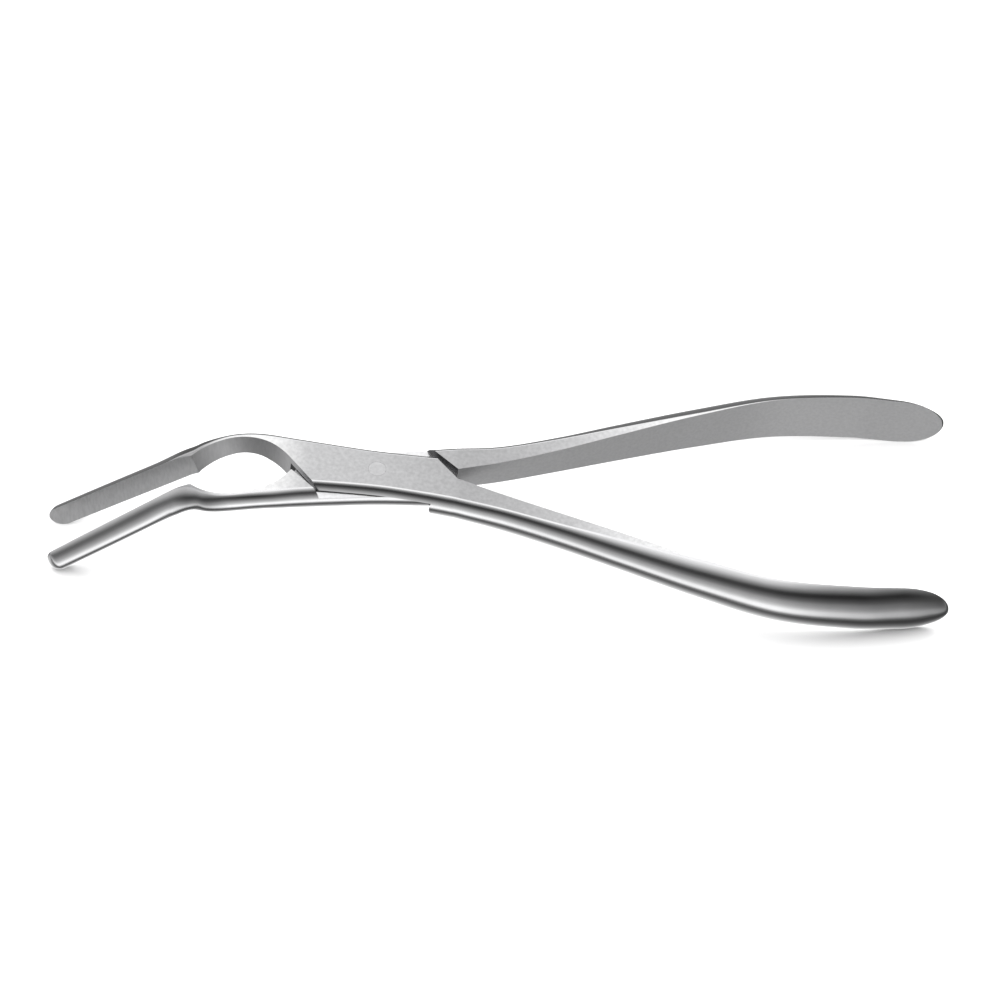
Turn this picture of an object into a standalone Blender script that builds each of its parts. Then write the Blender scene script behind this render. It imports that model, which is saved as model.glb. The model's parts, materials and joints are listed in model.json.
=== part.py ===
"""Septum straightening forceps: two forged steel arms, lap jointed on one screw.

Each arm is drawn closed, in the joint's own frame: the joint's axis is Z, the
blades lie towards -X, the handles towards +X, and the lock's top face is Z = 0.
The arm is a bar with arched backs, lofted through stations, whose flat inner
faces are then milled away by upright cutters. At the lock a pocket is milled
out between two slanted shoulders, above or below the lap plane, where the other
arm's leaf lies. The arms are mirror images, but for the leaf each one keeps.
"""
import bmesh
import bpy
from math import asin, cos, pi, radians, sin, sqrt, tan
from mathutils import Vector

MM = 0.001

# Lock
LOCK_THICKNESS = 7.6 * MM
TOP_LEAF = 2.2 * MM                   # lap plane below the top face
LAP_CLEARANCE = 0.30 * MM             # between the two leaves
SHOULDER_CLEARANCE = 0.35 * MM        # between leaf and shoulder, closed
LOWER_CLEARANCE = 1.10 * MM           # at the hidden leaf's back edge, closed
FRONT_SHOULDER_SLANT = radians(48.0)  # the leaf's front edge, off the X axis
BACK_SHOULDER_SLANT = radians(45.5)
BACK_SHOULDER_REACH = 14.35 * MM      # square from the joint's axis
HANDLE_ROOT_GAP = 0.40 * MM           # between the handles at the lock, closed
LOCK_FRONT = 19.0 * MM                # ahead of the joint, where the jaw begins

# Screw
SCREW_RADIUS = 2.2 * MM
SCREW_HEAD_RADIUS = 3.5 * MM
SCREW_CLEARANCE = 0.15 * MM
SLOT_WIDTH = 0.8 * MM
SLOT_DEPTH = 0.8 * MM

# Blades and the arch behind them
BLADE_GAP = 2.7 * MM                  # left between the closed blades
BLADE_LENGTH = 38.9 * MM              # along its own axis, heel to tip
BLADE_WIDTH = 7.3 * MM
TIP_WIDTH = 6.6 * MM
BLADE_THICKNESS = 3.6 * MM
TIP_THICKNESS = 3.0 * MM
ARCH_REACH = 34.0 * MM                # its middle, ahead of the joint's axis
ARCH_RADIUS = 15.5 * MM
ARCH_DEPTH = 5.05 * MM                # above the blade's inner face
HEEL_REACH = 46.0 * MM
HEEL_LENGTH = 4.7 * MM                # over which the bar narrows to the blade
HEEL_TURN = 2.0 * MM                  # over which it turns to the blade's slope
ARCH_SET = radians(18.7)              # slope of the bar behind the heel
BLADE_SET = radians(41.3)             # slope of the blade
SET_START = 27.0 * MM                 # where the bar starts to slope
SET_END = 37.0 * MM                   # where it has reached ARCH_SET

# Handles
HANDLE_REACH = 145.6 * MM
HANDLE_END_LENGTH = 12.0 * MM         # the rounded end
END_FULLNESS = 1.5 * MM               # bulge of the end ahead of its inner face
END_RUN_OUT = 0.8 * MM                # how fast the inner face runs out there
RUN_OUT_SHARE = 0.75                  # share of the full height where that starts

# How the forceps lie: handles apart, standing on blade tips and handles
REST_OPENING = radians(7.6)
STEEPEST_PITCH = radians(30.0)        # where the search for the resting tilt ends

# Stations of the bar. A flat edge is where the flat top face stops, measured
# from the centre line, and the depth is how far the arched back bulges past it.
# distance ahead of the joint, flat edge, depth of the back, half height
JAW_BACK = (
    (-16.0 * MM, 5.5 * MM, 2.9 * MM, 3.80 * MM),
    (0.0 * MM, 5.3 * MM, 2.6 * MM, 3.80 * MM),
    (10.0 * MM, 5.7 * MM, 2.5 * MM, 3.80 * MM),
    (20.0 * MM, 6.3 * MM, 2.5 * MM, 3.72 * MM),
    (29.0 * MM, 7.0 * MM, 2.5 * MM, 3.40 * MM),
    (35.0 * MM, 7.0 * MM, 2.6 * MM, 3.20 * MM),
    (39.5 * MM, 6.1 * MM, 3.2 * MM, 3.20 * MM),
    (43.0 * MM, 4.0 * MM, 4.2 * MM, 3.30 * MM),
    (46.0 * MM, 1.9 * MM, 4.8 * MM, 3.50 * MM),
)
# distance behind the joint, flat edge, depth of the back
LOCK_NEAR_SIDE = (
    (-18.0 * MM, 6.1 * MM, 2.9 * MM),
    (0.0 * MM, 5.3 * MM, 3.2 * MM),
    (13.0 * MM, 5.8 * MM, 3.4 * MM),
    (21.0 * MM, 6.4 * MM, 3.1 * MM),
)
# share of the handle, inner face off the centre line, flat's width, depth of
# the back, height, middle of the height below the lock's top face
HANDLE = (
    (0.000, 0.20 * MM, 6.20 * MM, 3.1 * MM, 7.60 * MM, 3.80 * MM),
    (0.089, 2.90 * MM, 4.60 * MM, 2.8 * MM, 8.20 * MM, 4.70 * MM),
    (0.208, 6.90 * MM, 3.50 * MM, 2.7 * MM, 9.10 * MM, 5.00 * MM),
    (0.326, 11.20 * MM, 2.30 * MM, 3.7 * MM, 10.70 * MM, 5.10 * MM),
    (0.495, 17.30 * MM, 0.70 * MM, 4.8 * MM, 13.20 * MM, 5.50 * MM),
    (0.652, 21.70 * MM, 0.15 * MM, 4.9 * MM, 15.10 * MM, 5.70 * MM),
    (0.811, 22.00 * MM, 0.10 * MM, 4.5 * MM, 16.30 * MM, 5.30 * MM),
    (0.910, 20.70 * MM, 0.10 * MM, 3.8 * MM, 16.20 * MM, 5.20 * MM),
    (1.000, 19.40 * MM, 0.10 * MM, 3.2 * MM, 15.80 * MM, 5.20 * MM),
)
BACK_SPREAD = radians(60.0)           # half the angle that an arched back covers

# Fineness
BACK_STEPS = 12                       # facets round a back
ARCH_STEPS = 24                       # facets round the arch
ROUND_STEPS = 48                      # facets round the screw
TIP_TURNS = (86, 76, 64, 50, 34, 17)  # degrees round the tip, from its end
END_TURNS = (14, 28, 42, 55, 67, 78, 87)
BLADE_STATIONS = 6
HEEL_STATIONS = 7
ARCH_STATIONS = 14
LOCK_STATIONS = 10
HANDLE_STATIONS = 18
FACE_STEPS = 36                       # along the handle's inner face
DROP_STEPS = 200                      # for adding up the bar's slope
PITCH_STEPS = 40                      # halvings in the search for the resting tilt
CREASE = radians(20.0)                # sharper edges are shaded as creases
REACH_PAST = 30.0 * MM                # how far cutters run past the metal
ARCH_CUT_LOW = 18.0 * MM              # how far the arch's cutter runs below the lock
ARCH_CUT_HIGH = 5.0 * MM              # and above it
ARCH_CUT_PAST = 2.0 * MM              # and past the blade's face

HANDLE_ROOT = (BACK_SHOULDER_REACH + HANDLE_ROOT_GAP / 2 * cos(BACK_SHOULDER_SLANT)) \
    / sin(BACK_SHOULDER_SLANT)
BLADE_FACE = BLADE_GAP / 2


def collection(name):
    made = bpy.data.collections.new(name)
    bpy.context.scene.collection.children.link(made)
    return made


def steel(name, colour, roughness):
    made = bpy.data.materials.new(name)
    made.use_nodes = True
    shader = made.node_tree.nodes["Principled BSDF"]
    shader.inputs["Base Color"].default_value = (*colour, 1.0)
    shader.inputs["Metallic"].default_value = 1.0
    shader.inputs["Roughness"].default_value = roughness
    return made


def smooth(table, at, column):
    """A curve through one column of a table, level with its neighbours' chord."""
    rows = sorted((row[0], row[column]) for row in table)
    at = min(max(at, rows[0][0]), rows[-1][0])
    i = max(k for k in range(len(rows) - 1) if rows[k][0] <= at or k == 0)

    def slope(k):
        a, b = rows[max(k - 1, 0)], rows[min(k + 1, len(rows) - 1)]
        return (b[1] - a[1]) / (b[0] - a[0])
    (x0, y0), (x1, y1) = rows[i], rows[i + 1]
    run = x1 - x0
    t = (at - x0) / run
    return ((2 * t**3 - 3 * t**2 + 1) * y0 + (t**3 - 2 * t**2 + t) * run * slope(i)
            + (3 * t**2 - 2 * t**3) * y1 + (t**3 - t**2) * run * slope(i + 1))


def bend_at(reach):
    """Slope of the bar at a distance ahead of the joint."""
    if reach <= SET_END:
        return ARCH_SET * max(0.0, (reach - SET_START) / (SET_END - SET_START))
    return ARCH_SET + (BLADE_SET - ARCH_SET) * min(1.0, max(0.0, (reach - HEEL_REACH) / HEEL_TURN))


def spine_drop(reach):
    """How far the bar's middle line has dropped at a distance ahead of the joint."""
    width = reach / DROP_STEPS
    return sum(tan(bend_at((k + 0.5) * width)) * width for k in range(DROP_STEPS))


def middle_height(reach):
    """Height of the bar's middle line at a distance ahead of the joint."""
    return -LOCK_THICKNESS / 2 - spine_drop(reach)


def station(x, z, slope, half_height, plus, minus):
    """One section of the bar: its middle, its slope, and (edge, depth) on each side."""
    return {"x": x, "z": z, "slope": slope, "half": half_height, "plus": plus, "minus": minus}


def blade_stations():
    """From the tip to the end of the heel, square to the blade's axis."""
    start = HEEL_REACH + HEEL_LENGTH
    tip_start = BLADE_LENGTH - TIP_WIDTH / 2
    places = [tip_start + TIP_WIDTH / 2 * sin(radians(a)) for a in TIP_TURNS]
    places += [tip_start * (1 - k / BLADE_STATIONS) for k in range(BLADE_STATIONS + 1)]
    made = []
    for along in places:
        share = along / BLADE_LENGTH
        past = max(0.0, along - tip_start) / (TIP_WIDTH / 2)
        round_off = sqrt(1 - past**2)
        half = (BLADE_WIDTH + (TIP_WIDTH - BLADE_WIDTH) * share) / 2
        thick = BLADE_THICKNESS + (TIP_THICKNESS - BLADE_THICKNESS) * share**2
        x = -(start + along * cos(BLADE_SET))
        z = middle_height(start) - along * sin(BLADE_SET)
        made.append(station(x, z, BLADE_SET, half * round_off,
                            (BLADE_FACE, thick * round_off), (BLADE_FACE, half)))
    return made


def arch_stations():
    """From the heel back to the lock."""
    made = []
    heel_end = HEEL_REACH + HEEL_LENGTH
    heel = (heel_end, BLADE_FACE, BLADE_THICKNESS, BLADE_WIDTH / 2)
    table = JAW_BACK + (heel,)
    reaches = [heel_end - k * HEEL_LENGTH / HEEL_STATIONS for k in range(1, HEEL_STATIONS)]
    reaches += [HEEL_REACH - k * (HEEL_REACH - LOCK_FRONT) / ARCH_STATIONS for k in range(ARCH_STATIONS + 1)]
    for reach in reaches:
        edge, depth, half = (smooth(table, reach, c) for c in (1, 2, 3))
        made.append(station(-reach, middle_height(reach), bend_at(reach), half,
                            (edge, depth), (BLADE_FACE, LOCK_THICKNESS)))
    return made


def lock_stations():
    made = []
    for k in range(1, LOCK_STATIONS):
        x = -LOCK_FRONT + k * (HANDLE_ROOT + LOCK_FRONT) / LOCK_STATIONS
        made.append(station(x, -LOCK_THICKNESS / 2, 0.0, LOCK_THICKNESS / 2,
                            (smooth(JAW_BACK, -x, 1), smooth(JAW_BACK, -x, 2)),
                            (smooth(LOCK_NEAR_SIDE, x, 1), smooth(LOCK_NEAR_SIDE, x, 2))))
    return made


def handle_x(share):
    return HANDLE_ROOT + share * (HANDLE_REACH - HANDLE_ROOT)


def handle_face(share):
    """The handle's flat inner face, off the centre line."""
    return smooth(HANDLE, share, 1) + HANDLE_ROOT_GAP / 2 - HANDLE[0][1]


def handle_stations():
    """From the lock to the rounded end, where the inner face runs out."""
    length = HANDLE_REACH - HANDLE_ROOT
    end_start = 1 - HANDLE_END_LENGTH / length
    shares = [k / HANDLE_STATIONS * end_start for k in range(HANDLE_STATIONS + 1)]
    shares += [end_start + (1 - end_start) * sin(radians(a)) for a in END_TURNS]
    made = []
    for share in shares:
        past = max(0.0, share - end_start) / (1 - end_start)
        round_off = sqrt(1 - past**2)
        flat, depth, height, middle = (smooth(HANDLE, share, c) for c in (2, 3, 4, 5))
        face = handle_face(share)
        run_out = END_RUN_OUT * (RUN_OUT_SHARE - round_off)
        made.append(station(handle_x(share), -middle, 0.0, height / 2 * round_off,
                            (-face - run_out, END_FULLNESS * round_off),
                            (face + flat + max(0.0, run_out), depth * round_off)))
    return made


def section(place, side):
    """The closed outline of one station: an arched back on each side of two flats."""
    up = Vector((-sin(place["slope"]), 0, cos(place["slope"])))
    middle = Vector((place["x"], 0, place["z"]))
    points = []
    for sign, (edge, depth) in ((1, place["plus"]), (-1, place["minus"])):
        for k in range(BACK_STEPS + 1):
            a = sign * (2 * k / BACK_STEPS - 1) * BACK_SPREAD
            bulge = depth * (cos(a) - cos(BACK_SPREAD)) / (1 - cos(BACK_SPREAD))
            rise = place["half"] * sin(a) / sin(BACK_SPREAD)
            points.append(middle + up * rise + Vector((0, side * sign * (edge + bulge), 0)))
    return points


def finish(name, mesh):
    """Turns a drawn mesh into an object, with its faces outward."""
    bmesh.ops.recalc_face_normals(mesh, faces=mesh.faces)
    data = bpy.data.meshes.new(name)
    mesh.to_mesh(data)
    mesh.free()
    return bpy.data.objects.new(name, data)


def round_shading(made):
    made.data.shade_smooth()
    made.data.set_sharp_from_angle(angle=CREASE)


def loft(name, stations, side):
    """A solid through the stations, closed by a face at each end."""
    mesh = bmesh.new()
    rings = [[mesh.verts.new(p) for p in section(s, side)] for s in stations]
    count = len(rings[0])
    for ring, following in zip(rings, rings[1:]):
        for k in range(count):
            n = (k + 1) % count
            mesh.faces.new((ring[k], ring[n], following[n], following[k]))
    mesh.faces.new(rings[0])
    mesh.faces.new(rings[-1])
    made = finish(name, mesh)
    round_shading(made)
    return made


def prism(name, outline, low, high, side=1, leaning=False):
    """A solid over a plan outline, mirrored for the other arm, upright or leaning with the bar."""
    mesh = bmesh.new()
    ends = []
    for z in (low, high):
        places = [(lean(x, z) if leaning else x, side * y, z) for x, y in outline]
        ends.append([mesh.verts.new(p) for p in places])
        mesh.faces.new(ends[-1])
    for k in range(len(outline)):
        n = (k + 1) % len(outline)
        mesh.faces.new((ends[0][k], ends[0][n], ends[1][n], ends[1][k]))
    return finish(name, mesh)


def lean(x, z):
    """Where a line square to the bar, through its middle at x, has got to at a height."""
    return x - tan(bend_at(-x)) * (z - middle_height(-x))


def turned(name, profile):
    """A solid of revolution on the joint's axis, from its outer line, top to bottom."""
    mesh = bmesh.new()
    line = [mesh.verts.new((r, 0, z)) for r, z in profile]
    edges = [mesh.edges.new(pair) for pair in zip(line, line[1:])]
    bmesh.ops.spin(mesh, geom=line + edges, cent=(0, 0, 0), axis=(0, 0, 1), angle=2 * pi,
                   steps=ROUND_STEPS, use_merge=True)
    bmesh.ops.remove_doubles(mesh, verts=mesh.verts, dist=0.00001)
    return finish(name, mesh)


def cut(body, cutter):
    """Mills a cutter out of a body, and keeps the two together."""
    cutters.objects.link(cutter)
    cutter.parent = body
    cutter.hide_render = True
    cutter.display_type = "WIRE"
    milled = body.modifiers.new(cutter.name, "BOOLEAN")
    milled.operation = "DIFFERENCE"
    milled.solver = "EXACT"
    milled.object = cutter


def front_line():
    """The leaf's front edge: its outward normal, and its distance from the axis."""
    normal = Vector((-sin(FRONT_SHOULDER_SLANT), -cos(FRONT_SHOULDER_SLANT)))
    centre = Vector((-ARCH_REACH, BLADE_FACE + ARCH_DEPTH - ARCH_RADIUS))
    return normal, normal.dot(centre) - ARCH_RADIUS


def back_line():
    """The leaf's back edge, likewise."""
    normal = Vector((sin(BACK_SHOULDER_SLANT), cos(BACK_SHOULDER_SLANT)))
    return normal, BACK_SHOULDER_REACH


def on_line(line, y, offset=0.0):
    """The point at a height y of a line that is moved outward by an offset."""
    normal, distance = line
    return ((distance + offset - normal.y * y) / normal.x, y)


def arch_point(y, end):
    """The angle round the arch at a height y, at its blade end (-1) or its lock end (+1)."""
    rise = asin((y - BLADE_FACE - ARCH_DEPTH + ARCH_RADIUS) / ARCH_RADIUS)
    return rise if end > 0 else pi - rise


def on_arch(angle):
    return (ARCH_RADIUS * cos(angle) - ARCH_REACH, BLADE_FACE + ARCH_DEPTH + ARCH_RADIUS * (sin(angle) - 1))


def jaw_space():
    """What is milled off the jaw's inner side: blade face and leaf's front edge."""
    left = -(HEEL_REACH + BLADE_LENGTH + REACH_PAST)
    return [(left, BLADE_FACE), on_arch(arch_point(BLADE_FACE, 1)), on_arch(pi / 2 - FRONT_SHOULDER_SLANT),
            on_line(front_line(), -REACH_PAST), (left, -REACH_PAST)]


def arch_space():
    """The arch, milled square to the bar, from below the blade's face to the lock."""
    first, last = arch_point(BLADE_FACE - ARCH_CUT_PAST, -1), arch_point(BLADE_FACE, 1)
    return [on_arch(first + (last - first) * k / ARCH_STEPS) for k in range(ARCH_STEPS + 1)]


def handle_space():
    """What is milled off the handle's inner side: leaf's back edge, inner face."""
    shares = [k / FACE_STEPS for k in range(FACE_STEPS + 1)]
    face = [(handle_x(share), -handle_face(share)) for share in shares]
    right = HANDLE_REACH + REACH_PAST
    return [on_line(back_line(), REACH_PAST)] + face + [(right, face[-1][1]), (right, REACH_PAST)]


def leaf_pocket(back_clearance):
    """Plan of the space for the other arm's leaf, between this arm's shoulders."""
    front, back = front_line(), back_line()
    return [on_line(front, REACH_PAST, SHOULDER_CLEARANCE),
            on_line(front, -REACH_PAST, SHOULDER_CLEARANCE),
            on_line(back, -REACH_PAST, back_clearance),
            on_line(back, REACH_PAST, back_clearance)]


def arm(name, side, material):
    """One arm. Side +1 has its jaw at +Y, and -1 is its mirror image."""
    stations = blade_stations() + arch_stations() + lock_stations() + handle_stations()
    made = loft(name, stations, side)
    made.data.materials.append(material)
    parts.objects.link(made)
    far = REACH_PAST + HEEL_REACH + BLADE_LENGTH
    cut(made, prism(name + "_jaw_space", jaw_space(), -far, far, side))
    cut(made, prism(name + "_arch_space", arch_space(), -ARCH_CUT_LOW, ARCH_CUT_HIGH, side, leaning=True))
    cut(made, prism(name + "_handle_space", handle_space(), -far, far, side))
    return made


def top_arm():
    """The arm that keeps the upper leaf, so its pocket lies below the lap plane."""
    made = arm("top_arm", 1, steel("satin_steel_top_arm", (0.60, 0.60, 0.61), 0.32))
    pocket = leaf_pocket(LOWER_CLEARANCE)
    cut(made, prism("top_arm_leaf_pocket", pocket, -REACH_PAST, LAP_CLEARANCE / 2 - TOP_LEAF, -1))
    cut(made, screw_bore("top_arm_bore"))
    return made


def bottom_arm():
    """The arm that keeps the lower leaf, so its pocket lies above the lap plane."""
    made = arm("bottom_arm", -1, steel("satin_steel_bottom_arm", (0.56, 0.56, 0.57), 0.32))
    pocket = leaf_pocket(SHOULDER_CLEARANCE)
    cut(made, prism("bottom_arm_leaf_pocket", pocket, -LAP_CLEARANCE / 2 - TOP_LEAF, REACH_PAST, 1))
    cut(made, screw_bore("bottom_arm_bore"))
    return made


def screw_bore(name):
    """What is bored out of both leaves for the screw, countersunk from below."""
    shank, head = SCREW_RADIUS + SCREW_CLEARANCE, SCREW_HEAD_RADIUS + SCREW_CLEARANCE
    cone_start = -LOCK_THICKNESS + SCREW_HEAD_RADIUS - SCREW_RADIUS
    below = -LOCK_THICKNESS - REACH_PAST
    return turned(name, [(0, REACH_PAST), (shank, REACH_PAST), (shank, cone_start),
                         (head, -LOCK_THICKNESS), (head, below), (0, below)])


def joint_screw():
    """Countersunk from below, with its upper end ground flush with the top leaf."""
    cone_start = -LOCK_THICKNESS + SCREW_HEAD_RADIUS - SCREW_RADIUS
    made = turned("joint_screw", [(0, 0), (SCREW_RADIUS, 0), (SCREW_RADIUS, cone_start),
                                  (SCREW_HEAD_RADIUS, -LOCK_THICKNESS), (0, -LOCK_THICKNESS)])
    round_shading(made)
    made.data.materials.append(steel("ground_steel_screw", (0.66, 0.66, 0.67), 0.28))
    parts.objects.link(made)
    half = SLOT_WIDTH / 2
    long = SCREW_HEAD_RADIUS + SLOT_DEPTH
    slot = [(-long, -half), (long, -half), (long, half), (-long, half)]
    cut(made, prism("screw_slot", slot, -LOCK_THICKNESS - SLOT_DEPTH, -LOCK_THICKNESS + SLOT_DEPTH))
    return made


def lowest(points, pitch, ahead):
    """Height of the lowest point ahead of the joint, or behind it, at a pitch."""
    return min(p.z * cos(pitch) - p.x * sin(pitch) for p in points if (p.x < 0) == ahead)


def resting_pitch(points):
    """The tilt at which the blade tips and the handles stand on one plane."""
    low, high = 0.0, STEEPEST_PITCH
    for _ in range(PITCH_STEPS):
        middle = (low + high) / 2
        if lowest(points, middle, True) < lowest(points, middle, False):
            low = middle
        else:
            high = middle
    return middle


def lay_down(arms, screw):
    """Opens the arms and stands them on the ground plane, as they lie on a table."""
    half = REST_OPENING / 2
    for piece, turn in ((arms[0], -half), (arms[1], half), (screw, -half)):
        piece.rotation_euler = (0, 0, turn)
    bpy.context.view_layer.update()
    graph = bpy.context.evaluated_depsgraph_get()
    points = []
    for piece in arms:
        data = piece.evaluated_get(graph).to_mesh()
        points += [piece.matrix_world @ v.co for v in data.vertices]
    pitch = resting_pitch(points)
    frame = bpy.data.objects.new("resting_frame", None)
    parts.objects.link(frame)
    for piece in (*arms, screw):
        piece.parent = frame
    ends = [p.x * cos(pitch) + p.z * sin(pitch) for p in points]
    frame.rotation_euler = (0, pitch, 0)
    frame.location = (-(min(ends) + max(ends)) / 2, 0, -lowest(points, pitch, True))
    bpy.context.view_layer.update()


for old in list(bpy.data.objects):
    bpy.data.objects.remove(old)
parts = collection("septum_forceps")
cutters = collection("cutters")
lay_down((top_arm(), bottom_arm()), joint_screw())
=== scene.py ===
# %% [markdown]
# # Septum straightening forceps
#
# Two forged arms of stainless steel turn on one screw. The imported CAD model
# gives the place of every piece and the joint. This lesson rebuilds the two
# arms at a finer grain, rounds the edges that a grinder leaves, and gives each
# kind of surface its own finish: satin flats, cross-ground inner faces and
# polished backs.

# %% Load the frame
import bmesh
import bpy
import json
from math import asin, atan2, cos, degrees, pi, radians, sin, sqrt, tan
from mathutils import Matrix, Vector


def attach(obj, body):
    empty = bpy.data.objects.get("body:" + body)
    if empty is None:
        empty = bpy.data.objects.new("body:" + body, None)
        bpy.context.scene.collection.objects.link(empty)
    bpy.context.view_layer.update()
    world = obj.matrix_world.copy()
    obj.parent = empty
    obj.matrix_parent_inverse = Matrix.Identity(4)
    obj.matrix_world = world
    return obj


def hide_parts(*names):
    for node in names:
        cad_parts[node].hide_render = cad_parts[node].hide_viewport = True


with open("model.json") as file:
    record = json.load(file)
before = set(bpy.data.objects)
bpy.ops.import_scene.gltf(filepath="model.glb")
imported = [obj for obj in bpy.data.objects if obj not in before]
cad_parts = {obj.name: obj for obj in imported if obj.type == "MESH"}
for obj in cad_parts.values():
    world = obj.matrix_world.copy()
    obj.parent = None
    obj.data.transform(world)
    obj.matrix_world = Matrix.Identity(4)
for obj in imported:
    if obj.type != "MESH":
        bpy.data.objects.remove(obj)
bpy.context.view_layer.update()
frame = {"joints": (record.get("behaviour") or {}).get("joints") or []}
MM = 0.001

# %% [markdown]
# The arms are drawn in the joint's own frame: its axis is Z, the blades lie
# towards -X, and the lock's top face is at height 0. The joint in the record
# says where that frame stands when the forceps lie on a table, so nothing has
# to be measured again.

# %% The joint's frame
joint = frame["joints"][0]
PIVOT = Vector(joint["pos_m"])
AXIS = Vector(joint["axis"]).normalized()
PITCH = atan2(AXIS.x, AXIS.z)
REST_OPENING = radians(-joint["range_deg"][0])
JOINT_FRAME = Matrix.Translation(PIVOT) @ Matrix.Rotation(PITCH, 4, "Y")
print("pitch", round(degrees(PITCH), 3), "opening at rest", round(degrees(REST_OPENING), 2))

# %% [markdown]
# The lock is the thick middle where the two arms cross. Each arm keeps one leaf
# of it. Slanted shoulders in front and behind make room for the other leaf, and
# behind them the two handles begin side by side.
#
# All tables list stations along the bar. A flat's edge is where the flat top
# face stops, and the depth is how far the arched back bulges past it.

# %% Sizes of the lock


def metres(rows, first=0):
    """A table in millimetres as metres, from the first column that holds a size."""
    return [row[:first] + tuple(size * MM for size in row[first:]) for row in rows]


LOCK_THICKNESS = 7.6 * MM
LOCK_FRONT = 19.0 * MM
FRONT_SHOULDER_SLANT = radians(48.0)
BACK_SHOULDER_SLANT = radians(45.5)
BACK_SHOULDER_REACH = 14.35 * MM      # square from the joint's axis
HANDLE_ROOT_GAP = 0.40 * MM
HANDLE_ROOT = ((BACK_SHOULDER_REACH + HANDLE_ROOT_GAP / 2 * cos(BACK_SHOULDER_SLANT))
               / sin(BACK_SHOULDER_SLANT))
SHOULDER_REACH = 24.0 * MM            # as far as the front shoulder cuts the inner side
# distance behind the joint, flat edge, depth of the back
LOCK_NEAR_SIDE = metres((
    (-18.0, 6.1, 1.8),
    (0.0, 5.3, 1.9),
    (13.0, 5.8, 2.0),
    (21.0, 6.4, 2.1),
))
print("handle root", round(HANDLE_ROOT / MM, 2), "mm behind the joint")

# %% [markdown]
# A jaw is all that lies ahead of the lock: the arch, the heel and the blade. Its
# bar slopes down gently under the arch and steeply along the blade. The heel is
# the corner between them, where the bar also narrows to the blade.

# %% Sizes of the jaws
BLADE_GAP = 2.7 * MM                  # left between the closed blades
BLADE_FACE = BLADE_GAP / 2
BLADE_LENGTH = 38.9 * MM
BLADE_WIDTH = 7.3 * MM
TIP_WIDTH = 6.6 * MM
BLADE_THICKNESS = 3.9 * MM
TIP_THICKNESS = 3.3 * MM
BLADE_SET = radians(41.3)             # slope of the blade
ARCH_SET = radians(18.7)              # slope of the bar behind the heel
SET_START = 27.0 * MM
SET_END = 37.0 * MM
HEEL_REACH = 46.0 * MM
HEEL_LENGTH = 4.7 * MM                # over which the bar narrows to the blade
HEEL_TURN_START = 45.0 * MM
HEEL_TURN = 4.0 * MM                  # over which it turns to the blade's slope
HEEL_SWELL = 0.4 * MM                 # extra thickness of the blade at the heel
SWELL_LENGTH = 9.0 * MM
# distance ahead of the joint, flat edge, depth of the back, half height
JAW_BACK = metres((
    (-16.0, 5.5, 2.0, 3.80),
    (0.0, 5.3, 2.0, 3.80),
    (10.0, 5.7, 2.0, 3.80),
    (20.0, 6.3, 2.0, 3.72),
    (29.0, 7.0, 2.0, 3.40),
    (35.0, 7.0, 2.0, 3.20),
    (39.5, 6.1, 2.4, 3.20),
    (43.0, 4.4, 3.3, 3.35),
    (46.0, 2.4, 4.0, 3.55),
))
print("blades start", round((HEEL_REACH + HEEL_LENGTH) / MM, 2), "mm ahead of the joint")

# %% [markdown]
# The handles bow outwards and grow taller towards the hand. Their flat top face
# runs out to nothing half way along, where the back and the inner face meet.

# %% Sizes of the handles
HANDLE_REACH = 145.6 * MM
HANDLE_END_LENGTH = 12.0 * MM         # the rounded end
END_FULLNESS = 1.5 * MM               # bulge of the end ahead of its inner face
END_RUN_OUT = 0.8 * MM                # how far the inner face draws in as the end closes
RUN_OUT_SHARE = 0.75                  # share of the full height at which that starts
# share of the handle, inner face off the centre line, flat's width, depth of
# the back, height, middle of the height below the lock's top face
HANDLE = metres((
    (0.000, 0.20, 6.20, 2.0, 7.60, 3.80),
    (0.089, 2.90, 4.60, 2.2, 8.20, 4.70),
    (0.208, 6.90, 3.50, 2.7, 9.10, 5.00),
    (0.326, 11.20, 2.30, 3.7, 10.70, 5.10),
    (0.495, 17.30, 0.70, 4.8, 13.20, 5.50),
    (0.652, 21.70, 0.15, 4.9, 15.10, 5.70),
    (0.811, 22.00, 0.10, 4.5, 16.30, 5.30),
    (0.910, 20.70, 0.10, 3.8, 16.20, 5.20),
    (1.000, 19.40, 0.10, 3.2, 15.80, 5.20),
), first=1)
print("handles", round((HANDLE_REACH - HANDLE_ROOT) / MM, 1), "mm long")

# %% [markdown]
# A forging has no steps, so every size runs along the bar as one smooth curve
# through its stations, made of a cubic between each two. At a station it has
# the slope of the straight line that joins the stations on both sides.

# %% Curves through the stations
SLOPE_STEPS = 200                     # for adding up the bar's slope


def smooth(table, at, column):
    """The size in a column of a table, at a place between its stations."""
    rows = sorted((row[0], row[column]) for row in table)
    at = min(max(at, rows[0][0]), rows[-1][0])
    i = max(k for k in range(len(rows) - 1) if rows[k][0] <= at or k == 0)

    def slope(k):
        a, b = rows[max(k - 1, 0)], rows[min(k + 1, len(rows) - 1)]
        return (b[1] - a[1]) / (b[0] - a[0])
    (x0, y0), (x1, y1) = rows[i], rows[i + 1]
    run = x1 - x0
    t = (at - x0) / run
    return ((2 * t**3 - 3 * t**2 + 1) * y0 + (t**3 - 2 * t**2 + t) * run * slope(i)
            + (3 * t**2 - 2 * t**3) * y1 + (t**3 - t**2) * run * slope(i + 1))


def bend_at(reach):
    """Slope of the bar at a distance ahead of the joint."""
    if reach <= SET_END:
        return ARCH_SET * max(0.0, (reach - SET_START) / (SET_END - SET_START))
    turned_share = min(1.0, max(0.0, (reach - HEEL_TURN_START) / HEEL_TURN))
    return ARCH_SET + (BLADE_SET - ARCH_SET) * turned_share


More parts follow.
